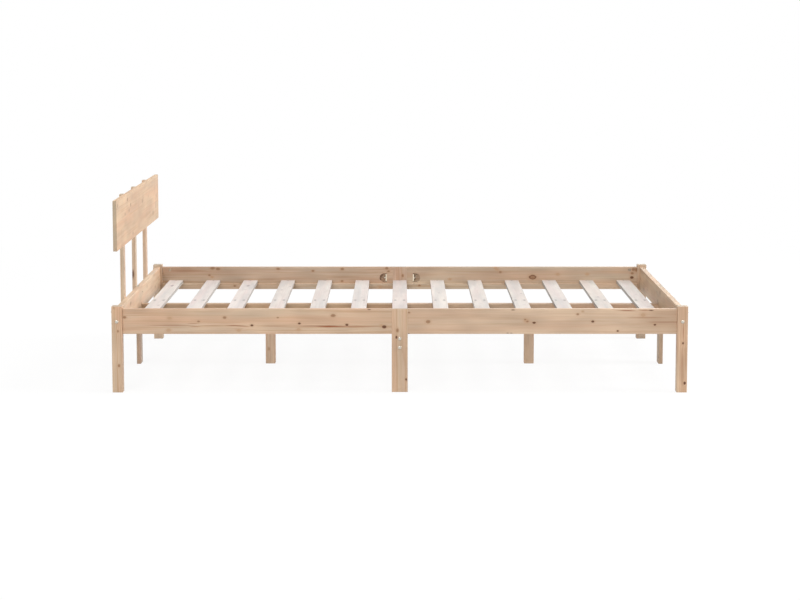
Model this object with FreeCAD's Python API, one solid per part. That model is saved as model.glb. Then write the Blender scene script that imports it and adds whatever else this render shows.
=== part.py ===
import FreeCAD, Part
import os

# Slatted bed frame in solid pine for a 1200 x 2000 mattress, with a low plank headboard.
# Millimetres. +X points to the foot, +Y to the sleeper's left, +Z up.
# The boards are laid out about the middle of the four corner legs, and every node is
# then shifted along X so that the origin is under the middle of the whole frame.

Vector = FreeCAD.Vector
along_x = Vector(1, 0, 0)
along_y = Vector(0, 1, 0)
along_z = Vector(0, 0, 1)

# Overall sizes, measured over the corner legs
frame_length = 2050.0
frame_width = 1255.0
leg_height = 310.0
headboard_top = 685.0

# Timber sections
leg_side = 37.0
rail_thickness = 20.0
rail_height = 90.0
rail_bottom = 210.0
mid_leg_width = 57.0
end_leg_thickness = 16.0
end_leg_lap = 10.0
ledger_depth = 20.0
ledger_height = 22.0
beam_width = 37.0
beam_height = 57.0
board_thickness = 14.0
slat_width = 57.0
slat_thickness = 13.0
edge_ease = 1.2
small_ease = 0.8
fit_gap = 0.25
ledger_end_gap = 1.0

# How far a cutting shape runs past the surface it opens
overcut = 1.0

# Headboard
panel_height = 180.0
panel_length = 1230.0
post_width = 37.0
post_spacing = 325.0
posts = {"right": -1, "middle": 0, "left": 1}

# Slats and the legs under the centre beam
slat_count = 13
slat_pitch = 155.0
slat_end_gap = 1.5
centre_leg_offset = 500.0
cross_beam_middle = 177.0

# Bolts, barrel nuts, threaded rods and dowels
bolt_diameter = 6.0
bolt_bore = 7.0
bolt_head_diameter = 13.0
bolt_head_height = 3.4
bolt_head_round = 3.0
hex_socket_width = 4.0
hex_socket_depth = 2.6
bolt_end_space = 4.0
side_rail_bolt_rise = 33.0
hexagon_sides = 6
corner_bolt_length = 75.0
cross_bolt_length = 60.0
centre_leg_bolt_length = 95.0
end_rail_bolt_height = rail_bottom + rail_height / 2
side_rail_bolt_height = end_rail_bolt_height + side_rail_bolt_rise
cross_bolt_half_spacing = 16.0
beam_end_bolt_rise = 17.0
barrel_nut_diameter = 12.0
barrel_nut_bore = 12.3
barrel_nut_thread = 6.2
barrel_nut_length = 14.0
barrel_nut_setback = 32.0
barrel_slot_width = 1.6
barrel_slot_depth = 1.5
rod_reach = 66.0
rod_nut_width = 10.0
rod_nut_height = 5.0
rod_plate_thickness = 5.0
rod_plate_length = 30.0
rod_plate_margin = 0.5
pocket_flat = 54.0
pocket_radius = 18.0
pocket_straight = 12.0
pocket_depth = 16.0
dowel_diameter = 8.0
dowel_bore = 8.3
dowel_length = 30.0
dowel_leg_depth = 12.0
dowel_spread = 25.0
shallow_dowel_depth = 8.0
dowel_end_gap = 0.5

# Countersunk wood screws
screw_diameter = 4.0
screw_bore = 4.3
screw_head_diameter = 8.0
screw_head_height = 2.4
screw_tip_length = 4.0
screw_tip_diameter = 1.0
screw_sink = 0.6
screw_slot_length = 4.6
screw_slot_width = 1.0
screw_slot_depth = 1.2
slat_screw_length = 35.0
slat_end_screw_length = 30.0
slat_screw_half_spacing = 17.0
ledger_dowels_per_half = 5
ledger_dowel_margin = 70.0
lap_screw_length = 18.0
beam_lap_screw_length = 60.0
panel_screw_length = 25.0
post_screw_length = 30.0
post_screw_offset = 9.0
lap_screw_offset = 19.0
screw_rise = 20.0
panel_screw_rise = 50.0

# Places that follow from the sizes above
half_length = frame_length / 2
half_width = frame_width / 2
leg_inner_x = half_length - leg_side
leg_inner_y = half_width - leg_side
leg_middle_x = half_length - leg_side / 2
leg_middle_y = half_width - leg_side / 2
rail_inner_x = leg_middle_x - rail_thickness / 2
rail_outer_x = leg_middle_x + rail_thickness / 2
rail_inner_y = leg_middle_y - rail_thickness / 2
rail_outer_y = leg_middle_y + rail_thickness / 2
rail_top = rail_bottom + rail_height
rail_middle = rail_bottom + rail_height / 2
mid_leg_half = mid_leg_width / 2
end_leg_inner_x = rail_outer_x - end_leg_thickness
end_lap_x = rail_outer_x - end_leg_lap
slat_bottom = rail_bottom + ledger_height
slat_top = slat_bottom + slat_thickness
beam_bottom = slat_bottom - beam_height
beam_half = beam_width / 2
cross_beam_top = cross_beam_middle + beam_height / 2
cross_beam_bottom = cross_beam_middle - beam_height / 2
panel_bottom = headboard_top - panel_height
ledger_inner_y = rail_inner_y - ledger_depth
post_outer_x = -rail_outer_x - board_thickness
foot_reach = half_length + bolt_head_height
middle_shift = -(post_outer_x + foot_reach) / 2

ends = {"head": -1, "foot": 1}
sides = {"right": -1, "left": 1}
bores = []
nodes = {}


def span(inner, outer, sign):
    # A stretch from inner to outer on one side of the middle, in rising order
    low, high = sorted((inner * sign, outer * sign))
    return low, high


def board(x_span, y_span, z_span, ease=edge_ease):
    # A planed board with all its edges eased
    size = (x_span[1] - x_span[0], y_span[1] - y_span[0], z_span[1] - z_span[0])
    block = Part.makeBox(*size, Vector(x_span[0], y_span[0], z_span[0]))
    return block.makeFillet(ease, block.Edges)


def cut_box(x_span, y_span, z_span):
    size = (x_span[1] - x_span[0], y_span[1] - y_span[0], z_span[1] - z_span[0])
    return Part.makeBox(*size, Vector(x_span[0], y_span[0], z_span[0]))


def cylinder(start, direction, length, diameter):
    return Part.makeCylinder(diameter / 2, length, start, direction)


def square_to(direction):
    # A frame direction at right angles to another one
    return along_x if direction.cross(along_z).Length == 0 else along_z


def hexagon(start, direction, height, width):
    # A hexagonal prism, width across its flats
    corner_radius = width / 3 ** 0.5
    corners = []
    for step in range(hexagon_sides + 1):
        turn = FreeCAD.Rotation(direction, 360 / hexagon_sides * step)
        corners.append(start + turn.multVec(square_to(direction)) * corner_radius)
    return Part.Face(Part.makePolygon(corners)).extrude(direction * height)


def connector_bolt(seat, direction, length):
    # A button-headed bolt with a hexagon socket. Its head stands on the seat, its shank runs along direction
    head = cylinder(seat - direction * bolt_head_height, direction, bolt_head_height, bolt_head_diameter)
    rims = [edge for edge in head.Edges if edge.Closed]
    outer_rim = min(rims, key=lambda edge: edge.CenterOfMass.dot(direction))
    head = head.makeFillet(bolt_head_round, [outer_rim])
    bolt = head.fuse(cylinder(seat, direction, length, bolt_diameter)).removeSplitter()
    socket = hexagon(seat - direction * bolt_head_height, direction, hex_socket_depth, hex_socket_width)
    bores.append(cylinder(seat, direction, length + bolt_end_space, bolt_bore))
    return bolt.cut(socket)


def barrel_nut(centre, mouth, bolt_axis, face_distance):
    # A cross-drilled nut whose slotted end looks out of its bore, along mouth
    back = centre - mouth * (barrel_nut_length / 2)
    nut = cylinder(back, mouth, barrel_nut_length, barrel_nut_diameter)
    thread = cylinder(centre - bolt_axis * barrel_nut_diameter, bolt_axis,
                      2 * barrel_nut_diameter, barrel_nut_thread)
    slot_middle = centre + mouth * (barrel_nut_length / 2)
    across = mouth.cross(bolt_axis)
    slot_start = slot_middle - bolt_axis * barrel_nut_diameter - across * (barrel_slot_width / 2)
    slot_points = [slot_start,
                   slot_start + bolt_axis * 2 * barrel_nut_diameter,
                   slot_start + bolt_axis * 2 * barrel_nut_diameter + across * barrel_slot_width,
                   slot_start + across * barrel_slot_width,
                   slot_start]
    slot = Part.Face(Part.makePolygon(slot_points)).extrude(mouth * -barrel_slot_depth)
    bore_back = back - mouth * fit_gap
    bore_length = barrel_nut_length / 2 + fit_gap + face_distance + overcut
    bores.append(cylinder(bore_back, mouth, bore_length, barrel_nut_bore))
    return nut.cut(thread).cut(slot)


def wood_screw(seat, direction, length):
    # A countersunk screw, its head just under the surface at seat
    top = seat + direction * screw_sink
    head = Part.makeCone(screw_head_diameter / 2, screw_diameter / 2, screw_head_height, top, direction)
    shank_length = length - screw_sink - screw_head_height - screw_tip_length
    shank_start = top + direction * screw_head_height
    shank = cylinder(shank_start, direction, shank_length, screw_diameter)
    tip_start = shank_start + direction * shank_length
    tip = Part.makeCone(screw_diameter / 2, screw_tip_diameter / 2, screw_tip_length, tip_start, direction)
    screw = head.fuse([shank, tip]).removeSplitter()
    first = square_to(direction)
    second = direction.cross(first)
    for arm in (first, second):
        side = direction.cross(arm)
        corner = top - arm * (screw_slot_length / 2) - side * (screw_slot_width / 2)
        outline = [corner,
                   corner + arm * screw_slot_length,
                   corner + arm * screw_slot_length + side * screw_slot_width,
                   corner + side * screw_slot_width,
                   corner]
        screw = screw.cut(Part.Face(Part.makePolygon(outline)).extrude(direction * screw_slot_depth))
    gap = (screw_bore - screw_diameter) / 2
    sink_diameter = screw_head_diameter + 2 * gap
    bores.append(cylinder(seat, direction, length + gap, screw_bore))
    bores.append(cylinder(seat - direction * overcut, direction, overcut + screw_sink, sink_diameter))
    bores.append(Part.makeCone(sink_diameter / 2, screw_bore / 2, screw_head_height, top, direction))
    return screw


def dowel(joint, direction, leg_depth):
    # A wooden dowel across a joint face, leg_depth of it on the side that direction points to
    start = joint - direction * (dowel_length - leg_depth)
    bores.append(cylinder(start - direction * dowel_end_gap, direction,
                          dowel_length + 2 * dowel_end_gap, dowel_bore))
    return cylinder(start, direction, dowel_length, dowel_diameter)


def group(pieces):
    return Part.makeCompound(pieces)


def drilled(shape):
    # Cut every bore that reaches this board
    for bore in bores:
        if shape.BoundBox.intersect(bore.BoundBox):
            shape = shape.cut(bore)
    return shape


def corner_joints():
    # Each corner: one bolt into the side rail along X, one into the end rail along Y, and dowels
    bolts = []
    nuts = []
    dowels = []
    for x_sign in ends.values():
        for y_sign in sides.values():
            inward_x = along_x * -x_sign
            inward_y = along_y * -y_sign
            side_seat = Vector(half_length * x_sign, leg_middle_y * y_sign, side_rail_bolt_height)
            bolts.append(connector_bolt(side_seat, inward_x, corner_bolt_length))
            side_nut = Vector((leg_inner_x - barrel_nut_setback) * x_sign,
                              leg_middle_y * y_sign, side_rail_bolt_height)
            nuts.append(barrel_nut(side_nut, inward_y, inward_x, rail_thickness / 2))
            end_seat = Vector(leg_middle_x * x_sign, half_width * y_sign, end_rail_bolt_height)
            bolts.append(connector_bolt(end_seat, inward_y, corner_bolt_length))
            end_nut = Vector(leg_middle_x * x_sign,
                             (leg_inner_y - barrel_nut_setback) * y_sign, end_rail_bolt_height)
            nuts.append(barrel_nut(end_nut, inward_x, inward_y, rail_thickness / 2))
            side_face = Vector(leg_inner_x * x_sign, leg_middle_y * y_sign, rail_middle - dowel_spread)
            dowels.append(dowel(side_face, -inward_x, dowel_leg_depth))
            for rise in (-dowel_spread, dowel_spread):
                end_face = Vector(leg_middle_x * x_sign, leg_inner_y * y_sign, rail_middle + rise)
                dowels.append(dowel(end_face, -inward_y, dowel_leg_depth))
    return bolts, nuts, dowels


def joint_pocket(x_sign, y_sign):
    # The half-moon pocket in the rail's inner face, flat on the side of the mid leg
    mouth_y = (rail_inner_y - overcut) * y_sign
    depth = (pocket_depth + overcut) * y_sign
    flat_x = pocket_flat * x_sign
    turn_x = (pocket_flat + pocket_straight) * x_sign
    apex_x = (pocket_flat + pocket_straight + pocket_radius) * x_sign
    bottom = rail_middle - pocket_radius
    top = rail_middle + pocket_radius
    outline = [Part.makeLine(Vector(turn_x, mouth_y, bottom), Vector(flat_x, mouth_y, bottom)),
               Part.makeLine(Vector(flat_x, mouth_y, bottom), Vector(flat_x, mouth_y, top)),
               Part.makeLine(Vector(flat_x, mouth_y, top), Vector(turn_x, mouth_y, top)),
               Part.Arc(Vector(turn_x, mouth_y, top), Vector(apex_x, mouth_y, rail_middle),
                        Vector(turn_x, mouth_y, bottom)).toShape()]
    return Part.Face(Part.Wire(outline)).extrude(Vector(0, depth, 0))


def mid_joints():
    # Each side: a threaded rod through the mid leg, a plate and a nut in each pocket, and dowels
    rods = []
    nuts = []
    plates = []
    dowels = []
    for y_sign in sides.values():
        rod_start = Vector(-rod_reach, leg_middle_y * y_sign, rail_middle)
        rods.append(cylinder(rod_start, along_x, 2 * rod_reach, bolt_diameter))
        rod_hole = cylinder(rod_start, along_x, 2 * rod_reach, bolt_bore)
        bores.append(rod_hole)
        for x_sign in ends.values():
            outward = along_x * x_sign
            plate_x = span(pocket_flat, pocket_flat + rod_plate_thickness, x_sign)
            plate_y = span(rail_inner_y + rod_plate_margin,
                           rail_inner_y + pocket_depth - rod_plate_margin, y_sign)
            plate_z = (rail_middle - rod_plate_length / 2, rail_middle + rod_plate_length / 2)
            plates.append(cut_box(plate_x, plate_y, plate_z).cut(rod_hole))
            nut_start = Vector((pocket_flat + rod_plate_thickness) * x_sign,
                               leg_middle_y * y_sign, rail_middle)
            nut = hexagon(nut_start, outward, rod_nut_height, rod_nut_width)
            nuts.append(nut.cut(cylinder(rod_start, along_x, 2 * rod_reach, barrel_nut_thread)))
            bores.append(joint_pocket(x_sign, y_sign))
            for rise in (-dowel_spread, dowel_spread):
                face = Vector(mid_leg_half * x_sign, leg_middle_y * y_sign, rail_middle + rise)
                dowels.append(dowel(face, -outward, dowel_leg_depth))
    return rods, nuts, plates, dowels


def beam_joints():
    # Bolts that hold the cross beam, the centre beam's ends and the legs under it
    cross_bolts = []
    end_bolts = []
    leg_bolts = []
    nuts = []
    dowels = []
    for y_sign in sides.values():
        inward = along_y * -y_sign
        for rise in (-cross_bolt_half_spacing, cross_bolt_half_spacing):
            height = cross_beam_middle + rise
            seat = Vector(0, rail_outer_y * y_sign, height)
            cross_bolts.append(connector_bolt(seat, inward, cross_bolt_length))
            nut_centre = Vector(0, (rail_inner_y - barrel_nut_setback) * y_sign, height)
            nuts.append(barrel_nut(nut_centre, -along_x, inward, beam_half))
    for x_sign in ends.values():
        inward = along_x * -x_sign
        height = beam_bottom + beam_end_bolt_rise
        seat = Vector(rail_outer_x * x_sign, 0, height)
        end_bolts.append(connector_bolt(seat, inward, cross_bolt_length))
        nut_centre = Vector((rail_inner_x - barrel_nut_setback) * x_sign, 0, height)
        nuts.append(barrel_nut(nut_centre, -along_y, inward, beam_half))
        face = Vector(rail_inner_x * x_sign, 0, slat_bottom - beam_end_bolt_rise)
        dowels.append(dowel(face, -inward, shallow_dowel_depth))
        leg_x = centre_leg_offset * x_sign
        recess = Vector(leg_x, 0, slat_bottom - bolt_head_height - fit_gap)
        leg_bolts.append(connector_bolt(recess, -along_z, centre_leg_bolt_length))
        bores.append(cylinder(recess, along_z, bolt_head_height + overcut, bolt_head_diameter + 2 * fit_gap))
        nut_centre = Vector(leg_x, 0, beam_bottom - barrel_nut_setback)
        nuts.append(barrel_nut(nut_centre, -along_y, -along_z, beam_half))
    return cross_bolts, end_bolts, leg_bolts, nuts, dowels


def slat_places():
    first = -(slat_count - 1) / 2 * slat_pitch
    return [first + slat_pitch * number for number in range(slat_count)]


def slat_screws():
    # Two screws into the centre beam and one into the ledger at each end
    centre = []
    end = []
    for place in slat_places():
        for offset in (-slat_screw_half_spacing, slat_screw_half_spacing):
            centre.append(wood_screw(Vector(place + offset, 0, slat_top), -along_z, slat_screw_length))
        for y_sign in sides.values():
            seat = Vector(place, (rail_inner_y - ledger_depth / 2) * y_sign, slat_top)
            end.append(wood_screw(seat, -along_z, slat_end_screw_length))
    return centre, end


def ledger_dowels():
    # The ledgers are glued to the rails on blind dowels
    pins = []
    reach = leg_inner_x - 2 * ledger_dowel_margin
    height = rail_bottom + ledger_height / 2
    for x_sign in ends.values():
        for y_sign in sides.values():
            for number in range(ledger_dowels_per_half):
                place = ledger_dowel_margin + reach * number / (ledger_dowels_per_half - 1)
                joint = Vector(place * x_sign, rail_inner_y * y_sign, height)
                pins.append(dowel(joint, along_y * y_sign, dowel_length / 2))
    return pins


def lap_screws():
    # Screws through the end rails into the laps of their mid legs, and through the beam
    # halves into the cross beam
    end_laps = []
    beam_laps = []
    for x_sign in ends.values():
        for sign in (-1, 1):
            seat = Vector(rail_inner_x * x_sign, lap_screw_offset * sign, rail_middle + screw_rise * sign)
            end_laps.append(wood_screw(seat, along_x * x_sign, lap_screw_length))
        seat = Vector(beam_half / 2 * x_sign, 0, slat_bottom)
        beam_laps.append(wood_screw(seat, -along_z, beam_lap_screw_length))
    return end_laps, beam_laps


def headboard_screws():
    to_rail = []
    to_panel = []
    panel_middle = headboard_top - panel_height / 2
    for number in posts.values():
        for sign in (-1, 1):
            y_place = post_spacing * number + post_screw_offset * sign
            rail_seat = Vector(post_outer_x, y_place, rail_middle - screw_rise * sign)
            to_rail.append(wood_screw(rail_seat, along_x, post_screw_length))
            panel_seat = Vector(post_outer_x, y_place, panel_middle - panel_screw_rise * sign)
            to_panel.append(wood_screw(panel_seat, along_x, panel_screw_length))
    return to_rail, to_panel


def make_hardware():
    bolts, rail_nuts, corner_dowels = corner_joints()
    rods, rod_nuts, plates, mid_dowels = mid_joints()
    cross_bolts, end_bolts, leg_bolts, beam_nuts, beam_dowels = beam_joints()
    slat_centre, slat_end = slat_screws()
    end_laps, beam_laps = lap_screws()
    to_rail, to_panel = headboard_screws()
    nodes["corner_bolts"] = group(bolts)
    nodes["rail_barrel_nuts"] = group(rail_nuts)
    nodes["joint_rods"] = group(rods)
    nodes["joint_nuts"] = group(rod_nuts)
    nodes["joint_plates"] = group(plates)
    nodes["cross_beam_bolts"] = group(cross_bolts)
    nodes["beam_end_bolts"] = group(end_bolts)
    nodes["centre_leg_bolts"] = group(leg_bolts)
    nodes["beam_barrel_nuts"] = group(beam_nuts)
    nodes["dowels"] = group(corner_dowels + mid_dowels + beam_dowels + ledger_dowels())
    nodes["slat_centre_screws"] = group(slat_centre)
    nodes["slat_end_screws"] = group(slat_end)
    nodes["mid_leg_screws"] = group(end_laps)
    nodes["beam_lap_screws"] = group(beam_laps)
    nodes["post_rail_screws"] = group(to_rail)
    nodes["post_panel_screws"] = group(to_panel)


def make_legs():
    for end, x_sign in ends.items():
        for side, y_sign in sides.items():
            leg = board(span(leg_inner_x, half_length, x_sign),
                        span(leg_inner_y, half_width, y_sign), (0, leg_height))
            nodes[f"leg_{end}_{side}"] = drilled(leg)
    for side, y_sign in sides.items():
        leg = board((-mid_leg_half, mid_leg_half), span(rail_inner_y, rail_outer_y, y_sign), (0, rail_top))
        nodes[f"mid_leg_{side}"] = drilled(leg)
    for end, x_sign in ends.items():
        leg = board(span(end_leg_inner_x, rail_outer_x, x_sign), (-mid_leg_half, mid_leg_half),
                    (0, rail_top))
        shoulder = cut_box(span(end_leg_inner_x - overcut, end_lap_x, x_sign),
                           (-mid_leg_width, mid_leg_width), (rail_bottom, rail_top + overcut))
        nodes[f"mid_leg_{end}"] = drilled(leg.cut(shoulder))
        leg_x = centre_leg_offset * x_sign
        leg = board((leg_x - leg_side / 2, leg_x + leg_side / 2), (-leg_side / 2, leg_side / 2),
                    (0, beam_bottom))
        nodes[f"centre_leg_{end}"] = drilled(leg)


def make_rails():
    for end, x_sign in ends.items():
        for side, y_sign in sides.items():
            rail = board(span(mid_leg_half, leg_inner_x, x_sign),
                         span(rail_inner_y, rail_outer_y, y_sign), (rail_bottom, rail_top))
            nodes[f"side_rail_{end}_{side}"] = drilled(rail)
            ledger = board(span(fit_gap, leg_inner_x - ledger_end_gap, x_sign),
                           span(ledger_inner_y, rail_inner_y, y_sign), (rail_bottom, slat_bottom),
                           small_ease)
            nodes[f"slat_ledger_{end}_{side}"] = drilled(ledger)
        rail = board(span(rail_inner_x, rail_outer_x, x_sign), (-leg_inner_y, leg_inner_y),
                     (rail_bottom, rail_top))
        housing = cut_box(span(end_lap_x, rail_outer_x + overcut, x_sign),
                          (-mid_leg_half - fit_gap, mid_leg_half + fit_gap),
                          (rail_bottom - overcut, rail_top + overcut))
        nodes[f"{end}_rail"] = drilled(rail.cut(housing))


def make_beams():
    cross = board((-beam_half, beam_half), (-rail_inner_y, rail_inner_y),
                  (cross_beam_bottom, cross_beam_top), small_ease)
    nodes["cross_beam"] = drilled(cross)
    for end, x_sign in ends.items():
        beam = board(span(fit_gap, end_leg_inner_x, x_sign), (-beam_half, beam_half),
                     (beam_bottom, slat_bottom), small_ease)
        notch = cut_box(span(-overcut, beam_half + fit_gap, x_sign), (-beam_width, beam_width),
                        (beam_bottom - overcut, cross_beam_top))
        rebate = cut_box(span(rail_inner_x, rail_outer_x, x_sign), (-beam_width, beam_width),
                         (rail_bottom, slat_bottom + overcut))
        nodes[f"centre_beam_{end}"] = drilled(beam.cut(notch).cut(rebate))


def make_slats():
    half_slat = rail_inner_y - slat_end_gap
    for number, place in enumerate(slat_places(), 1):
        slat = board((place - slat_width / 2, place + slat_width / 2), (-half_slat, half_slat),
                     (slat_bottom, slat_top), small_ease)
        nodes[f"slat_{number:02d}"] = drilled(slat)


def make_headboard():
    for name, number in posts.items():
        middle = post_spacing * number
        post = board((post_outer_x, -rail_outer_x), (middle - post_width / 2, middle + post_width / 2),
                     (rail_bottom, headboard_top))
        nodes[f"headboard_post_{name}"] = drilled(post)
    panel = board((-rail_outer_x, -rail_outer_x + board_thickness), (-panel_length / 2, panel_length / 2),
                  (panel_bottom, headboard_top))
    nodes["headboard_panel"] = drilled(panel)


def main():
    make_hardware()
    make_legs()
    make_rails()
    make_beams()
    make_slats()
    make_headboard()
    os.makedirs("parts", exist_ok=True)
    whole = None
    for name, shape in nodes.items():
        shape.translate(Vector(middle_shift, 0, 0))
        shape.exportStep(f"parts/{name}.step")
        whole = shape.BoundBox if whole is None else whole.united(shape.BoundBox)
        solids = len(shape.Solids)
        print(f"{name}: {solids} solid(s), volume {shape.Volume:.0f}, valid {shape.isValid()}")
    print(f"{len(nodes)} nodes, X {whole.XMin:.2f} to {whole.XMax:.2f}, Y {whole.YMin:.2f} to "
          f"{whole.YMax:.2f}, Z {whole.ZMin:.2f} to {whole.ZMax:.2f}")


main()
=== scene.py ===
import bpy
import math
import random
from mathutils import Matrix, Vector


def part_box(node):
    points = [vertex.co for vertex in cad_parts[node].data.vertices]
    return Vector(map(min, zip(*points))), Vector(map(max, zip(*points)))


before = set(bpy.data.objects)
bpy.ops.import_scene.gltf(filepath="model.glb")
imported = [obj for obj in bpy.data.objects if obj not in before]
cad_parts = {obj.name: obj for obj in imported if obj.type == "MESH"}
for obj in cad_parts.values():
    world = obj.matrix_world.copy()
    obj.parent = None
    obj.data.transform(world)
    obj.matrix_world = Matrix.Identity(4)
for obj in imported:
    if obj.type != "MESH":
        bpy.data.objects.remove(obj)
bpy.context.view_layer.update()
print("frame loaded:", len(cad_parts), "nodes")
mmPerMetre = 1000


# Colours are written as sRGB hex and used as linear values
def linearColour(hexText):
    channels = [int(hexText[i:i + 2], 16) / 255 for i in (1, 3, 5)]
    return [c / 12.92 if c <= 0.04045 else ((c + 0.055) / 1.055) ** 2.4 for c in channels] + [1.0]


# Adds one node with its settings, and its inputs as values or links
def addNode(tree, kind, settings=None, inputs=None):
    made = tree.nodes.new("ShaderNode" + kind)
    for key, value in (settings or {}).items():
        setattr(made, key, value)
    for key, value in (inputs or {}).items():
        if isinstance(value, bpy.types.NodeSocket):
            tree.links.new(value, made.inputs[key])
        else:
            made.inputs[key].default_value = value
    return made


def newMaterial(name):
    material = bpy.data.materials.new(name)
    material.use_nodes = True
    material.node_tree.nodes.clear()
    return material, material.node_tree


# Planed knotty pine, unfinished: warm pale earlywood, darker latewood lines, a soft dull surface.
# The ring spacing and the relief are in mm
planedPine = {
    "early": "#dabda1", "late": "#bf9674", "red": "#d0a183", "grey": "#c8af98",
    "halo": "#be9877", "soundKnot": "#a57d5b", "darkKnot": "#5a3112", "knotRim": "#744a30",
    # The cut colour is bored wood, and is also painted shade in recesses
    "resin": "#8f4a20", "cutAndShade": "#927d60", "end": "#aa9f8b",
    "ringSpacing": 3.4, "ringStrength": 0.40, "streakStrength": 0.66, "fibreStrength": 0.12,
    "driftStrength": 0.60, "cloudStrength": 0.25, "roughness": 0.53, "relief": 0.06,
}

# Slats are sawn from paler sapwood, so they look greyer and almost white. Their side faces get
# painted shade, darker than their tops
sawnSapwood = {
    "early": "#ddd5cd", "late": "#cabfb6", "red": "#d9cac4", "grey": "#c7c2be",
    "halo": "#c9beba", "soundKnot": "#a99c9b", "knotRim": "#8f8283", "stain": "#908b8b",
    # The cut colour is bored wood, and is also painted shade in recesses
    # The slats' side-face colour and its strength give painted shade on their sides
    "cutAndShade": "#9b9089", "end": "#c2b6a8", "edge": "#b3aca5", "edgeStrength": 0.9,
    "ringSpacing": 3.0, "ringStrength": 0.40, "streakStrength": 0.45, "fibreStrength": 0.10,
    "driftStrength": 0.85, "cloudStrength": 0.10, "roughness": 0.58, "relief": 0.08,
}
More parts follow.
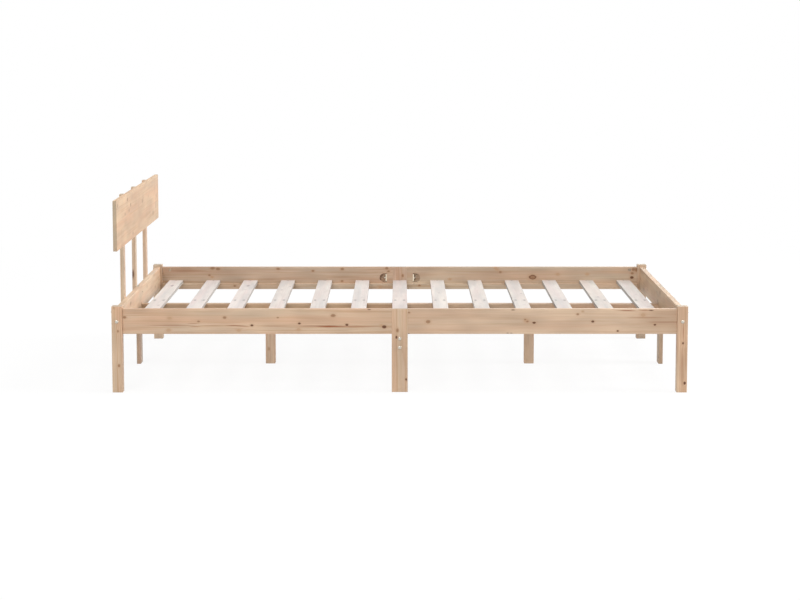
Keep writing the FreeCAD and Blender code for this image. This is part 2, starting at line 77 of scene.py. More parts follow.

# One entry for each board. Grain and across are its long and wide axes, and heart is the pith's
# distance across and behind the face in mm. Tone multiplies the colour: partly the board's own
# tone, and partly painted light and shade, lighter for boards that face the light and darker for
# boards that stand in shade. Figure says how strongly the grain shows. Knots and marks are
# (along, across, radius, kind) in mm from the board's middle, with a fifth value where one lies
# at a depth. Scatter adds knots by lot
boards = {
    "side_rail_head_right": {
        "grain": "x", "across": "z", "heart": (-72, 46), "toneWithPaintedLight": (0.965, 0.98, 0.97), "knots": [
            (-471, 15, 4.5, "sound"), (-311, 12, 5, "faint"), (-208, 0, 3, "sound"),
            (-115, 14, 4, "sound"), (-18, -14, 4.0, "dark"), (74, 14, 2.5, "sound"),
            (151, -7, 3.2, "dark"), (271, 21, 5.4, "sound"), (320, -12, 3.9, "dark"),
            (453, -19, 5.2, "dark"), (443, -14, 4, "faint"), (-315, -31, 5.4, "faint"),
            (-65, -32, 5.4, "faint"), (148, -29, 5.2, "faint"), (400, 42.5, 1.7, "bark", -10),
            (-345, -13, 1.6, "streak"), (-300, -14, 3.4, "streak"), (-163, -15, 2.2, "streak"),
            (-224, -7, 1.3, "resin"), (-220, -18.5, 1.3, "resin"), (-80, -15, 1.8, "resin"),
            (-45, -17, 1.6, "resin"), (55, -16, 2.6, "streak"), (215, -17, 3.6, "streak"),
            (264, -17.5, 3.0, "resin"), (350, -18.5, 3.4, "streak"), (470, -20, 1.8, "streak")]},
    "side_rail_foot_right": {
        "grain": "x", "across": "z", "heart": (66, 52), "toneWithPaintedLight": (0.935, 0.945, 0.945), "figure": 0.5,
        "knots": [
            (-475, 32, 3, "sound"), (-407, -1, 5.5, "sound"), (-105, 41.5, 1.8, "bark", -10),
            (-57, 2, 6, "faint"), (-62, 7, 2.6, "sound"), (-54, 0, 2.6, "sound"),
            (-30, -5, 3.5, "dark"), (125, 26, 3.5, "sound"), (143, 36, 3, "faint"),
            (179, 0, 3.9, "dark"), (358, 24, 6, "faint"), (386, 40, 2.1, "bark", -10),
            (400, -12, 3.2, "dark"), (268, -34, 3.0, "dark"), (300, 39, 1.8, "resin"),
            (362, 40, 1.5, "resin"), (450, -2, 3.2, "streak"), (380, 14, 2.8, "streak"),
            (445, 2, 42, "patch"), (-478, -43, 1.6, "bark", -10), (-124, -42, 1.1, "bark", -10),
            (-111, -42, 1.1, "bark", -10)]},
    # The far rails' low tones are partly painted shade on their inner faces, which the light hardly
    # reaches
    "side_rail_head_left": {
        "grain": "x", "across": "z", "heart": (70, -50), "toneWithPaintedLight": (0.84, 0.88, 0.92), "knots": [
            (-484, 18, 4.5, "sound"), (-271, 41, 5.5, "sound"), (-248, 37, 5, "sound"),
            (-284, 11, 3.5, "sound"), (-273, 3, 4, "faint"), (2, 37, 4.5, "sound"),
            (147, 29, 4, "sound"), (269, 37, 5, "sound"), (268, -14, 4, "sound"),
            (454, 40, 5, "sound"), (461, 27, 3.4, "sound"), (-375, 29, 2.6, "streak")]},
    "side_rail_foot_left": {
        "grain": "x", "across": "z", "heart": (-64, -52), "toneWithPaintedLight": (0.88, 0.965, 1.015), "knots": [
            (-496, 11, 4, "sound"), (-90, 24, 4.5, "sound"), (-104, 36, 5, "faint"),
            (-110, 42, 5, "faint"), (45, 2, 9.5, "ringed"), (149, 15, 5, "faint"),
            (272, 15, 5, "faint"), (458, 1, 5.5, "dark"), (459, 19, 4.5, "sound"),
            (464, 34, 5.5, "sound"), (477, 33, 6.5, "sound"), (-300, -6, 4, "faint")]},
    # The head rail's inner face turns to the light, and its high tone is partly painted light
    "head_rail": {
        "grain": "y", "across": "z", "heart": (30, -80), "toneWithPaintedLight": (1.05, 1.11, 1.11), "knots": [
            (-516, 8, 5, "sound"), (-323, 23, 8, "sound"), (-210, -20, 7, "faint"),
            (160, 22, 6, "faint"), (420, -14, 5, "sound")]},
    "foot_rail": {
        "grain": "y", "across": "z", "heart": (-20, 70), "toneWithPaintedLight": (0.915, 0.93, 0.885), "knots": [
            (120, -5, 28, "patch"), (-70, 29, 7, "sound"), (-2, -13, 5, "sound"),
            (97, 1, 5, "faint"), (327, -13, 5, "sound"), (436, -26, 7, "sound"),
            (-230, -20, 5, "faint"), (-500, 12, 6, "dark")]},
    "headboard_panel": {
        "grain": "y", "across": "z", "heart": (36, -95), "toneWithPaintedLight": (0.94, 0.90, 0.775), "knots": [
            (20, -5, 110, "patch"), (98, 26, 7, "sound"), (122, 32, 11, "faint"),
            (4, 60, 8, "faint"), (-12, 22, 13, "faint"), (14, -18, 13, "faint"),
            (-6, -58, 9, "faint"), (500, 45, 9, "faint"), (520, -30, 10, "faint"),
            (287, 28, 4, "faint"), (-585, 70, 7, "sound"), (-322, 70, 7, "sound"),
            (-239, 42, 7, "sound"), (-284, 26, 6, "sound"), (-394, 23, 5, "sound"),
            (-185, -70, 6, "sound"), (-500, -33, 7, "faint"), (430, -52, 8, "sound"),
            (540, 10, 5, "sound")]},
    # The posts' high tones are partly painted light
    "headboard_post_right": {
        "grain": "z", "across": "y", "heart": (12, 40), "toneWithPaintedLight": (1.05, 1.12, 1.12), "knots": [
            (-40, 2, 5, "sound"), (120, -8, 4, "faint")]},
    "headboard_post_middle": {
        "grain": "z", "across": "x", "heart": (-9, 46), "toneWithPaintedLight": (1.0, 1.13, 1.20), "knots": [
            (-99, -4, 4.2, "bark", -18.5)]},
    "headboard_post_left": {
        "grain": "z", "across": "y", "heart": (14, 52), "knots": [
            (-60, 4, 4, "faint"), (150, -7, 5, "sound")]},
    "leg_head_right": {
        "grain": "z", "across": "x", "heart": (-30, 44), "toneWithPaintedLight": (0.995, 1.01, 0.98), "figure": 1.25,
        "knots": [
            (66, 4, 3.0, "sound"), (-58, 6, 3.4, "sound"), (151, -10, 3.4, "faint")]},
    "leg_foot_right": {
        "grain": "z", "across": "x", "heart": (28, 50), "toneWithPaintedLight": (0.97, 1.0, 0.98), "knots": [
            (23, 2, 3.2, "dark"), (-121, 10, 4.0, "dark"), (55, 2, 2.0, "resin"),
            (-60, 0, 3.0, "streak"), (10, -17, 2.5, "streak"), (-40, 12, 2.0, "streak")]},
    "leg_head_left": {
        "grain": "z", "across": "x", "heart": (24, -38), "toneWithPaintedLight": (0.97, 1.06, 1.10), "knots": [
            (60, -6, 5, "sound")]},
    "leg_foot_left": {
        "grain": "z", "across": "x", "heart": (-22, -46), "toneWithPaintedLight": (0.88, 0.94, 0.97), "knots": [
            (-80, 5, 5, "sound")]},
    "mid_leg_right": {
        "grain": "z", "across": "x", "heart": (10, 40), "toneWithPaintedLight": (0.985, 1.02, 1.01), "knots": [
            (48, -12, 3.6, "dark"), (73, -8, 4.5, "sound"), (-104, 23, 3, "dark")]},
    # These mid legs stand in shade under the bed, and their low tones are painted shade
    "mid_leg_left": {
        "grain": "z", "across": "x", "heart": (-14, -42), "toneWithPaintedLight": (0.87, 0.89, 0.93), "knots": [
            (114, 12, 5, "sound"), (-30, -8, 5, "faint")]},
    "mid_leg_head": {
        "grain": "z", "across": "y", "heart": (12, 40), "toneWithPaintedLight": (0.84, 0.89, 0.94), "knots": [
            (-40, 9, 5, "sound")]},
    "mid_leg_foot": {
        "grain": "z", "across": "y", "heart": (-8, 44), "toneWithPaintedLight": (0.86, 0.92, 0.93), "knots": [
            (30, -11, 5, "sound")]},
    # The centre legs' high tones are partly painted light
    "centre_leg_head": {
        "grain": "z", "across": "x", "heart": (20, 50), "toneWithPaintedLight": (1.16, 1.21, 1.24), "knots": [
            (-30, -6, 4, "faint")]},
    "centre_leg_foot": {
        "grain": "z", "across": "x", "heart": (-24, 48), "toneWithPaintedLight": (1.06, 1.08, 1.08), "knots": [
            (35, 7, 4, "faint")]},
    "slat_ledger_head_right": {"grain": "x", "across": "z", "heart": (14, 40), "scatter": 5},
    "slat_ledger_foot_right": {"grain": "x", "across": "z", "heart": (-12, 44), "scatter": 5},
    "slat_ledger_head_left": {
        "grain": "x", "across": "z", "heart": (10, -42), "toneWithPaintedLight": (0.92, 1.02, 1.06), "scatter": 3},
    "slat_ledger_foot_left": {
        "grain": "x", "across": "z", "heart": (-15, -40), "toneWithPaintedLight": (0.92, 1.02, 1.06), "scatter": 3},
    # The centre beams' low tones are painted shade, for the shade under the slats and behind the
    # near rail
    "centre_beam_head": {
        "grain": "x", "across": "z", "heart": (-22, 52), "toneWithPaintedLight": (0.73, 0.72, 0.65), "scatter": 6},
    "centre_beam_foot": {
        "grain": "x", "across": "z", "heart": (18, 56), "toneWithPaintedLight": (0.73, 0.71, 0.68), "scatter": 6},
    "cross_beam": {"grain": "y", "across": "z", "heart": (16, 50), "scatter": 6},
}

# Slats are alike, so their hearts and most knots are drawn by lot, the same each time, but each
# has its own tone, partly its own colour and partly painted light and shade. Two have knots near
# the far rail, and the two screws in each slat leave a grey iron stain round them
slats = {
    "heartAcross": (-30, 30), "heartBehind": (40, 75), "scatter": 3, "withFarKnots": (1, 3),
    "farKnots": [(408, 2, 5, "sound"), (424, 1, 6.5, "sound"), (440, 3, 5, "sound")],
    "screwStains": [(0, -17, 6, "stain"), (0, 17, 6, "stain")],
    "tonesWithPaintedLight": [
        (1.08, 1.12, 1.15), (1.05, 1.06, 1.10), (1.05, 1.05, 1.08), (1.01, 1.01, 1.02),
        (1.02, 1.02, 1.03), (1.04, 1.05, 1.07), (1.00, 0.98, 0.99), (1.09, 1.09, 1.09),
        (1.00, 1.00, 1.00), (0.96, 0.96, 0.96), (0.96, 0.96, 0.97), (0.95, 0.95, 0.93),
        (1.04, 1.06, 1.07)],
}
for number, toneWithPaintedLight in enumerate(slats["tonesWithPaintedLight"], 1):
    draw = random.Random(number)
    heartAcross = draw.uniform(*slats["heartAcross"])
    heartBehind = draw.choice((-1, 1)) * draw.uniform(*slats["heartBehind"])
    farKnots = slats["farKnots"] if number in slats["withFarKnots"] else []
    boards[f"slat_{number:02d}"] = {
        "grain": "y", "across": "x", "wood": sawnSapwood, "toneWithPaintedLight": toneWithPaintedLight,
        "heart": (heartAcross, heartBehind), "knots": farKnots + slats["screwStains"],
        "scatter": slats["scatter"]}


# Marks drawn out along the grain: their colour, how strongly they show, and how much they are
# squeezed along the grain, across it and through the thickness to make them round
marks = {
    "streak": {"colour": "resin", "strength": 0.42, "squeeze": (0.04, 1.0, 0.08)},
    "resin": {"colour": "resin", "strength": 0.95, "squeeze": (0.055, 1.0, 0.08)},
    "stain": {"colour": "stain", "strength": 0.50, "squeeze": (0.28, 1.0, 0.08)},
    "bark": {"colour": "darkKnot", "strength": 0.95, "squeeze": (0.25, 1.0, 1.0)},
    "patch": {"colour": "soundKnot", "strength": 0.27, "squeeze": (0.32, 1.0, 0.08)},
}

# Knots from the faintest to the darkest: the colour of the core, how strongly it shows, and how
# dark the rim round it and the pith in its middle are
knotKinds = {
    "faint": {"core": "halo", "strength": 0.75, "rim": 0.0, "pith": 0.0},
    "sound": {"core": "soundKnot", "strength": 0.85, "rim": 0.22, "pith": 0.55},
    "ringed": {"core": "soundKnot", "strength": 0.95, "rim": 0.9, "pith": 0.4},
    "dark": {"core": "darkKnot", "strength": 0.95, "rim": 0.3, "pith": 0.0},
}
knotSqueeze = (0.7, 1.0, 0.04)
# Knots by lot keep within these shares of the board's half length and half width
scattered = {
    "along": 0.9, "across": 0.8, "radius": (3, 5.5), "kinds": ("faint", "sound", "faint"),
}


# A board's knots and marks of each kind, as places in mm about its middle, and radii
def boardKnots(name, look, axes, half):
    draw = random.Random(name)
    knots = list(look.get("knots", []))
    for count in range(look.get("scatter", 0)):
        along = draw.uniform(-scattered["along"], scattered["along"]) * half[axes["grain"]]
        across = draw.uniform(-scattered["across"], scattered["across"]) * half[axes["across"]]
        radius = draw.uniform(*scattered["radius"])
        knots.append((along, across, radius, draw.choice(scattered["kinds"])))
    placed = {kind: [] for kind in (*knotKinds, *marks)}
    for along, across, radius, kind, *depth in knots:
        place = depth * 3 or [0.0, 0.0, 0.0]
        place[axes["grain"]] = along
        place[axes["across"]] = across
        placed[kind].append((place, radius))
    return placed


# Distance to the nearest knot of a list, as a share of its radius
def nearestKnot(tree, millimetres, squeeze, knots):
    place = addNode(tree, "VectorMath", {"operation": "MULTIPLY"}, {
        0: millimetres, 1: squeeze}).outputs[0]
    nearest = None
    for centre, radius in knots:
        squeezed = [c * s for c, s in zip(centre, squeeze)]
        gap = addNode(tree, "VectorMath", {"operation": "DISTANCE"}, {
            0: place, 1: squeezed}).outputs["Value"]
        share = addNode(tree, "Math", {"operation": "DIVIDE"}, {0: gap, 1: radius}).outputs[0]
        if nearest is None:
            nearest = share
        else:
            nearest = addNode(tree, "Math", {"operation": "MINIMUM"}, {
                0: nearest, 1: share}).outputs[0]
    return nearest


# Each noise in the wood: its size along and across the grain in mm, how fine it is, and how far
# it is moved from the others. Warp and wander bend the rings, streak and fibre are lines along
# the grain, and drift and cloud are broad changes of colour and of shade
woodNoises = {
    "warp": (420, 40, 2.0, 0), "wander": (60, 9, 2.0, 11), "streak": (340, 5, 2.5, 23),
    "fibre": (70, 1.3, 2.0, 37), "drift": (420, 30, 1.5, 51), "cloud": (150, 50, 1.0, 67),
}

# Where each thing begins to show, and where it shows fully
woodSpans = {
    "drift": (0.36, 0.68), "warp": (0.42, 0.70), "streak": (0.46, 0.72),  # Value of the noise
    "lateDrift": (0.30, 0.62),
    "lateRise": (0.35, 0.88), "lateFall": (1.0, 0.93),  # Share of a growth ring
    "mark": (1.5, 0.3), "halo": (2.6, 0.9), "core": (1.15, 0.85),  # Share of a knot's radius
    "rimInside": (0.30, 0.85), "rimOutside": (1.2, 0.95), "pith": (0.70, 0.0),
    # How far below the faces the painted recess shade begins, and where it is full
    "boredShade": (1.4, 3.0),  # mm below the board's faces
    "facing": (0.6, 0.9),  # How squarely the surface faces along an axis
}

# The rest of how all boards are drawn
woodDrawing = {
    "warpPush": 16.0, "wanderPush": 1.8, "knotPush": 7.0,  # mm that rings are pushed aside
    "wobble": 0.9, "leastWobble": 0.55,  # Of the knots' outlines
    "lean": 0.012,  # Of the pith against the board, in radians
    "leastLate": 0.35,  # How strong the latewood stays where it is palest
    # The bored strength is the amount of painted shade in bored recesses
    "haloStrength": 0.45, "boredShadeStrength": 0.12, "endStrength": 0.6,
    "lateGloss": 0.08, "fibreGloss": 0.10,  # How much they change the roughness
    "fibreHeight": 0.8, "bumpStrength": 0.6,
}


def pineMaterial(name, look):
    wood = look.get("wood", planedPine)
    low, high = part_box(name)
    middle = (low + high) / 2
    half = [(h - l) * mmPerMetre / 2 for l, h in zip(low, high)]
    axes = {"grain": "xyz".index(look["grain"]), "across": "xyz".index(look["across"])}
    axes["depth"] = 3 - axes["grain"] - axes["across"]
    figure = look.get("figure", 1.0)
    draw = random.Random(name + "wood")

    def perAxis(grain, across, depth):
        values = [0.0, 0.0, 0.0]
        values[axes["grain"]] = grain
        values[axes["across"]] = across
        values[axes["depth"]] = depth
        return values

    material, tree = newMaterial("Pine_" + name)
    objectPlace = addNode(tree, "TexCoord").outputs["Object"]
    millimetres = addNode(tree, "Mapping", {"vector_type": "TEXTURE"}, {
        "Vector": objectPlace, "Location": middle, "Scale": [1 / mmPerMetre] * 3}).outputs[0]

    # Noise drawn out along the grain
    def grainNoise(along, across, detail, shift):
        place = addNode(tree, "Mapping", {}, {
            "Vector": millimetres, "Location": (shift, shift, shift),
            "Scale": perAxis(1 / along, 1 / across, 1 / across)}).outputs[0]
        return addNode(tree, "TexNoise", {}, {
            "Vector": place, "Scale": 1.0, "Detail": detail, "Roughness": 0.55}).outputs[0]

    def maths(operation, first, second=0.0, third=0.0):
        return addNode(tree, "Math", {"operation": operation}, {
            0: first, 1: second, 2: third}).outputs[0]

    def ease(value, span, high=1.0, low=0.0):
        start, end = woodSpans[span]
        return addNode(tree, "MapRange", {"interpolation_type": "SMOOTHSTEP"}, {
            "Value": value, "From Min": start, "From Max": end,
            "To Min": low, "To Max": high}).outputs[0]

    def blend(factor, first, second, kind="MIX"):
        return addNode(tree, "Mix", {"data_type": "RGBA", "blend_type": kind}, {
            0: factor, 6: first, 7: second}).outputs[2]

    # Blends one of the wood's colours over what is there
    def tinted(under, tint, factor):
        return blend(factor, under, linearColour(wood[tint]))

    seed = draw.uniform(0, 50)
    noise = {}
    for kind, (along, across, detail, shift) in woodNoises.items():
        noise[kind] = grainNoise(along, across, detail, seed + shift)

    # Knots: their edges wobble a little, and branches run through the thickness
    wobble = maths("MULTIPLY_ADD", noise["wander"], woodDrawing["wobble"],
                   woodDrawing["leastWobble"])
    shares = {}
    for kind, places in boardKnots(name, look, axes, half).items():
        squeeze = perAxis(*marks[kind]["squeeze"] if kind in marks else knotSqueeze)
        if places:
            distance = nearestKnot(tree, millimetres, squeeze, places)
            shares[kind] = maths("MULTIPLY", distance, wobble)

    # Growth rings round the pith, pushed aside by knots
    lean = [draw.uniform(-woodDrawing["lean"], woodDrawing["lean"]) for axis in "xyz"]
    heart = perAxis(0.0, -look["heart"][0], -look["heart"][1])
    fromHeart = addNode(tree, "Mapping", {}, {
        "Vector": millimetres, "Location": heart, "Rotation": lean}).outputs[0]
    acrossOnly = addNode(tree, "VectorMath", {"operation": "MULTIPLY"}, {
        0: fromHeart, 1: perAxis(0.0, 1.0, 1.0)}).outputs[0]
    radius = addNode(tree, "VectorMath", {"operation": "LENGTH"}, {0: acrossOnly}).outputs["Value"]
    radius = maths("MULTIPLY_ADD", noise["warp"], woodDrawing["warpPush"], radius)
    radius = maths("MULTIPLY_ADD", noise["wander"], woodDrawing["wanderPush"], radius)
    nearest = None
    for share in [shares[kind] for kind in knotKinds if kind in shares]:
        nearest = share if nearest is None else maths("MINIMUM", nearest, share)
    if nearest is not None:
        falling = maths("MULTIPLY_ADD", nearest, nearest, 1.0)
        radius = maths("ADD", radius, maths("DIVIDE", woodDrawing["knotPush"], falling))
    ring = maths("FRACT", maths("DIVIDE", radius, wood["ringSpacing"]))
    late = maths("MULTIPLY", ease(ring, "lateRise"), ease(ring, "lateFall"))
    lateDrift = ease(noise["drift"], "lateDrift", 1.0, woodDrawing["leastLate"])
    lateStrength = maths("MULTIPLY", late, lateDrift)

    # Colour, from the broad drift down to single fibres
    driftStrength = wood["driftStrength"] * figure
    colour = linearColour(wood["early"])
    colour = tinted(colour, "red", ease(noise["drift"], "drift", driftStrength))
    colour = tinted(colour, "grey", ease(noise["warp"], "warp", driftStrength))
    colour = tinted(colour, "late", maths("MULTIPLY", lateStrength, wood["ringStrength"] * figure))
    colour = tinted(colour, "late", ease(noise["streak"], "streak", wood["streakStrength"] * figure))
    shade = maths("MULTIPLY_ADD", noise["fibre"], wood["fibreStrength"] * 2,
                  1.0 - wood["fibreStrength"])
    shade = maths("MULTIPLY_ADD", noise["cloud"], wood["cloudStrength"] * 2,
                  maths("SUBTRACT", shade, wood["cloudStrength"]))
    # The tone is partly the board's own colour and partly painted light and shade
    channels = {channel: maths("MULTIPLY", shade, toneWithPaintedLight)
                for channel, toneWithPaintedLight in enumerate(look.get("toneWithPaintedLight", (1, 1, 1)))}
    tonedWithPaintedLight = addNode(tree, "CombineColor", {}, channels).outputs[0]
    colour = blend(1.0, colour, tonedWithPaintedLight, "MULTIPLY")
    for kind, mark in marks.items():
        if kind in shares:
            colour = tinted(colour, mark["colour"], ease(shares[kind], "mark", mark["strength"]))
    for kind, knot in knotKinds.items():
        if kind not in shares:
            continue
        share = shares[kind]
        haloStrength = woodDrawing["haloStrength"] * knot["strength"]
        colour = tinted(colour, "halo", ease(share, "halo", haloStrength))
        colour = tinted(colour, knot["core"], ease(share, "core", knot["strength"]))
        if knot["rim"]:
            rim = maths("MULTIPLY", ease(share, "rimInside"), ease(share, "rimOutside"))
            rim = maths("MULTIPLY", rim, knot["rim"])
            pith = ease(share, "pith", knot["pith"])
            colour = tinted(colour, "knotRim", maths("MAXIMUM", rim, pith))

    # Bored and routed surfaces lie inside the board's outline. They are rough, and are also darkened
    # with painted shade of the recess
    fromMiddle = addNode(tree, "VectorMath", {"operation": "ABSOLUTE"}, {
        0: millimetres}).outputs[0]
    away = addNode(tree, "VectorMath", {"operation": "SUBTRACT"}, {
        0: half, 1: fromMiddle}).outputs[0]
    inward = addNode(tree, "SeparateXYZ", {}, {0: away}).outputs
    inside = maths("MINIMUM", maths("MINIMUM", inward[0], inward[1]), inward[2])
    colour = tinted(colour, "cutAndShade", ease(inside, "boredShade", woodDrawing["boredShadeStrength"]))

    # Sawn ends are darker, because they soak up the light. The slats' side faces get painted shade
    def facing(axis, strength):
        normal = addNode(tree, "TexCoord").outputs["Normal"]
        along = addNode(tree, "VectorMath", {"operation": "DOT_PRODUCT"}, {
            0: normal, 1: axis}).outputs["Value"]
        return ease(maths("ABSOLUTE", along), "facing", strength)

    endGrain = facing(perAxis(1.0, 0.0, 0.0), woodDrawing["endStrength"])
    colour = tinted(colour, "end", endGrain)
    if "edge" in wood:
        paintedSideShade = facing(perAxis(0.0, 1.0, 0.0), wood["edgeStrength"])
        colour = tinted(colour, "edge", paintedSideShade)

    # Latewood is harder and a little glossier, and stands proud of the earlywood
    roughness = maths("MULTIPLY_ADD", lateStrength, -woodDrawing["lateGloss"], wood["roughness"])
    roughness = maths("MULTIPLY_ADD", noise["fibre"], woodDrawing["fibreGloss"],
                      maths("SUBTRACT", roughness, woodDrawing["fibreGloss"] / 2))
    height = maths("MULTIPLY_ADD", noise["fibre"], woodDrawing["fibreHeight"], lateStrength)
    bump = addNode(tree, "Bump", {}, {
        "Height": height, "Strength": woodDrawing["bumpStrength"],
        "Distance": wood["relief"] / mmPerMetre}).outputs[0]
    shader = addNode(tree, "BsdfPrincipled", {}, {
        "Base Color": colour, "Roughness": roughness, "IOR": 1.5, "Normal": bump}).outputs[0]
    addNode(tree, "OutputMaterial", {}, {"Surface": shader})
    return material


# Bright zinc plate on steel: a clear grey metal with faint cloudy patches, sized in mm
zincPlate = {
    "bright": "#d9d3c7", "cloud": "#b8b2a6", "metal": 1.0, "roughness": 0.26, "patch": 2.5,
}
# The plates in the pockets are blasted before plating, so they scatter the light
dullPlate = {
    "bright": "#ece4d2", "cloud": "#d9d0bd", "metal": 1.0, "roughness": 0.62, "patch": 2.5,
}
# Wood screws are phosphated. The coat is a dull dark crystal layer, not bare metal
screwCoat = {
    "bright": "#3b3937", "cloud": "#2a2827", "metal": 0.0, "roughness": 0.65, "patch": 1.5,
}
# What all plated pieces share: fine scratches, and patches that differ in gloss
plating = {"scratchesPerPatch": 6, "cloudGloss": 0.2, "relief": 0.03}


def platedMaterial(name, look):
    material, tree = newMaterial(name)
    objectPlace = addNode(tree, "TexCoord").outputs["Object"]
    cloud = addNode(tree, "TexNoise", {}, {
        "Vector": objectPlace, "Scale": mmPerMetre / look["patch"], "Detail": 3.0}).outputs[0]
    scratch = addNode(tree, "TexNoise", {}, {
        "Vector": objectPlace, "Detail": 2.0,
        "Scale": mmPerMetre * plating["scratchesPerPatch"] / look["patch"]}).outputs[0]
    colour = addNode(tree, "Mix", {"data_type": "RGBA"}, {
        0: cloud, 6: linearColour(look["bright"]), 7: linearColour(look["cloud"])}).outputs[2]
    roughness = addNode(tree, "Math", {"operation": "MULTIPLY_ADD"}, {
        0: cloud, 1: plating["cloudGloss"],
        2: look["roughness"] - plating["cloudGloss"] / 2}).outputs[0]
    bump = addNode(tree, "Bump", {}, {
        "Height": scratch, "Strength": 0.3,
        "Distance": plating["relief"] / mmPerMetre}).outputs[0]
    shader = addNode(tree, "BsdfPrincipled", {}, {
        "Base Color": colour, "Metallic": look["metal"], "Roughness": roughness,
        "Normal": bump}).outputs[0]
    addNode(tree, "OutputMaterial", {}, {"Surface": shader})
    return material


# Beech dowels: pinkish brown, dense and even, with short fine flecks, sized in mm
beechDowel = {
    "base": "#cfa67c", "fleck": "#b0835a", "fleckLength": 3.0, "fleckWidth": 0.4,
    "roughness": 0.6, "relief": 0.05,
}


def beechMaterial(name, look):
    material, tree = newMaterial(name)
    objectPlace = addNode(tree, "TexCoord").outputs["Object"]
    along, across = mmPerMetre / look["fleckLength"], mmPerMetre / look["fleckWidth"]
    squeezed = addNode(tree, "Mapping", {}, {
        "Vector": objectPlace, "Scale": (along, across, across)}).outputs[0]
    fleck = addNode(tree, "TexNoise", {}, {
        "Vector": squeezed, "Scale": 1.0, "Detail": 2.0}).outputs[0]
    amount = addNode(tree, "MapRange", {"interpolation_type": "SMOOTHSTEP"}, {
        "Value": fleck, "From Min": 0.45, "From Max": 0.7}).outputs[0]
    colour = addNode(tree, "Mix", {"data_type": "RGBA"}, {
        0: amount, 6: linearColour(look["base"]), 7: linearColour(look["fleck"])}).outputs[2]
    bump = addNode(tree, "Bump", {}, {
        "Height": fleck, "Strength": 0.3, "Distance": look["relief"] / mmPerMetre}).outputs[0]
    shader = addNode(tree, "BsdfPrincipled", {}, {
        "Base Color": colour, "Roughness": look["roughness"], "Normal": bump}).outputs[0]
    addNode(tree, "OutputMaterial", {}, {"Surface": shader})
    return material


# What each fitting is made of. Every other node is a board
fittings = {
    "zinc": [
        "corner_bolts", "cross_beam_bolts", "beam_end_bolts", "centre_leg_bolts",
        "rail_barrel_nuts", "beam_barrel_nuts", "joint_rods", "joint_nuts"],
    "plate": ["joint_plates"],
    "screw": [
        "slat_centre_screws", "slat_end_screws", "mid_leg_screws", "beam_lap_screws",
        "post_rail_screws", "post_panel_screws"],
    "beech": ["dowels"],
}
fittingMaterials = {
    "zinc": platedMaterial("ZincPlate", zincPlate),
    "plate": platedMaterial("DullZincPlate", dullPlate),
    "screw": platedMaterial("ScrewCoat", screwCoat),
    "beech": beechMaterial("BeechDowel", beechDowel),
}
materialOf = {name: fittingMaterials[kind] for kind, names in fittings.items() for name in names}
for name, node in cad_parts.items():
    node.data.materials.clear()
    node.data.materials.append(materialOf.get(name) or pineMaterial(name, boards[name]))
print("materials made:", len(bpy.data.materials))


# A pale floor and a white backdrop. The camera, glass and metal see both as white, with the
# object's soft shadow near it. Sizes are in metres, and the sweep is where the floor turns white
studio = {
    "floorSize": 40.0, "floorColour": "#dcdcdc", "floorGlow": 0.88, "floorShade": 0.17,
    "sweepStart": 1.8, "sweepEnd": 4.5,
    "worldLight": 0.30, "worldColour": "#ffffff", "lampTarget": (0, 0, 0.3),
    "lamps": {
        "keyLamp": {
            "direction": (0.90, -0.08, 0.43), "distance": 24.0, "size": 12.0, "power": 3200},
        "frontLamp": {
            "direction": (-0.30, -0.80, 0.52), "distance": 12.0, "size": 6.0, "power": 565},
        "topLamp": {
            "direction": (0.15, -0.10, 0.98), "distance": 12.0, "size": 7.0, "power": 560},
        "backLamp": {
            "direction": (0.46, 0.84, 0.30), "distance": 12.0, "size": 6.0, "power": 420},
    },
}
seenRays = ("Is Camera Ray", "Is Glossy Ray", "Is Transmission Ray")


def seenDirectly(tree):
    rays = addNode(tree, "LightPath").outputs
    seen = rays[seenRays[0]]
    for ray in seenRays[1:]:
        seen = addNode(tree, "Math", {"operation": "MAXIMUM"}, {0: seen, 1: rays[ray]}).outputs[0]
    return seen


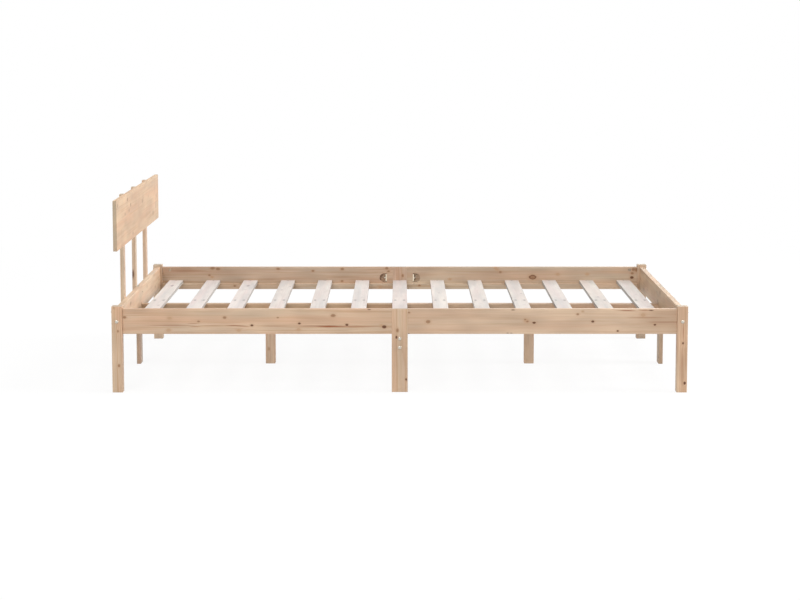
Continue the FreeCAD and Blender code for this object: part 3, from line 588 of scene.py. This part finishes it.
def makeFloor():
    bpy.ops.mesh.primitive_plane_add(size=studio["floorSize"], location=(0, 0, 0))
    floor = bpy.context.active_object
    floor.name = "studioFloor"
    material, tree = newMaterial("PaleFloor")
    colour = linearColour(studio["floorColour"])
    shade = [c * studio["floorShade"] for c in colour[:3]] + [1.0]
    plain = addNode(tree, "BsdfDiffuse", {}, {"Color": colour}).outputs[0]
    shaded = addNode(tree, "BsdfDiffuse", {}, {"Color": shade}).outputs[0]
    glow = addNode(tree, "Emission", {}, {"Strength": studio["floorGlow"]}).outputs[0]
    near = addNode(tree, "AddShader", {}, {0: shaded, 1: glow}).outputs[0]
    objectPlace = addNode(tree, "TexCoord").outputs["Object"]
    distance = addNode(tree, "VectorMath", {"operation": "LENGTH"}, {
        0: objectPlace}).outputs["Value"]
    sweep = addNode(tree, "MapRange", {"interpolation_type": "SMOOTHSTEP"}, {
        "Value": distance, "From Min": studio["sweepStart"],
        "From Max": studio["sweepEnd"]}).outputs[0]
    white = addNode(tree, "Emission", {}, {"Strength": 1.0}).outputs[0]
    seen = addNode(tree, "MixShader", {}, {0: sweep, 1: near, 2: white}).outputs[0]
    surface = addNode(tree, "MixShader", {}, {
        0: seenDirectly(tree), 1: plain, 2: seen}).outputs[0]
    addNode(tree, "OutputMaterial", {}, {"Surface": surface})
    floor.data.materials.append(material)


def makeWorld():
    world = bpy.data.worlds.new("studioWorld")
    bpy.context.scene.world = world
    world.use_nodes = True
    tree = world.node_tree
    tree.nodes.clear()
    colour = linearColour(studio["worldColour"])
    light = addNode(tree, "Background", {}, {
        "Color": colour, "Strength": studio["worldLight"]}).outputs[0]
    white = addNode(tree, "Background", {}, {"Color": colour, "Strength": 1.0}).outputs[0]
    surface = addNode(tree, "MixShader", {}, {
        0: seenDirectly(tree), 1: light, 2: white}).outputs[0]
    addNode(tree, "OutputWorld", {}, {"Surface": surface})


def makeLamps():
    for name, look in studio["lamps"].items():
        direction = Vector(look["direction"]).normalized()
        data = bpy.data.lights.new(name, "AREA")
        data.size = look["size"]
        data.energy = look["power"]
        lamp = bpy.data.objects.new(name, data)
        lamp.location = Vector(studio["lampTarget"]) + direction * look["distance"]
        lamp.rotation_euler = direction.to_track_quat("Z", "Y").to_euler()
        lamp.visible_camera = False
        bpy.context.scene.collection.objects.link(lamp)


makeFloor()
makeWorld()
makeLamps()
print("studio made")

# The camera stands well above the headboard, far off, and looks slightly down. The place and
# the far clip are in metres, the pitch in degrees, the lens and the sensor in mm
cameraLook = {
    "place": (0.0020, -7.6795, 1.3214), "pitch": 6.604, "lens": 90.221, "sensor": 36.0,
    "shiftUp": -0.06, "farClip": 200.0,
}
cameraData = bpy.data.cameras.new("bedCamera")
cameraData.sensor_width = cameraLook["sensor"]
cameraData.lens = cameraLook["lens"]
cameraData.shift_y = cameraLook["shiftUp"]
cameraData.clip_end = cameraLook["farClip"]
bedCamera = bpy.data.objects.new("bedCamera", cameraData)
bedCamera.location = cameraLook["place"]
bedCamera.rotation_euler = (math.radians(90 - cameraLook["pitch"]), 0, 0)
bpy.context.scene.collection.objects.link(bedCamera)
bpy.context.scene.camera = bedCamera
bpy.context.scene.view_settings.view_transform = "Standard"
print("camera placed")
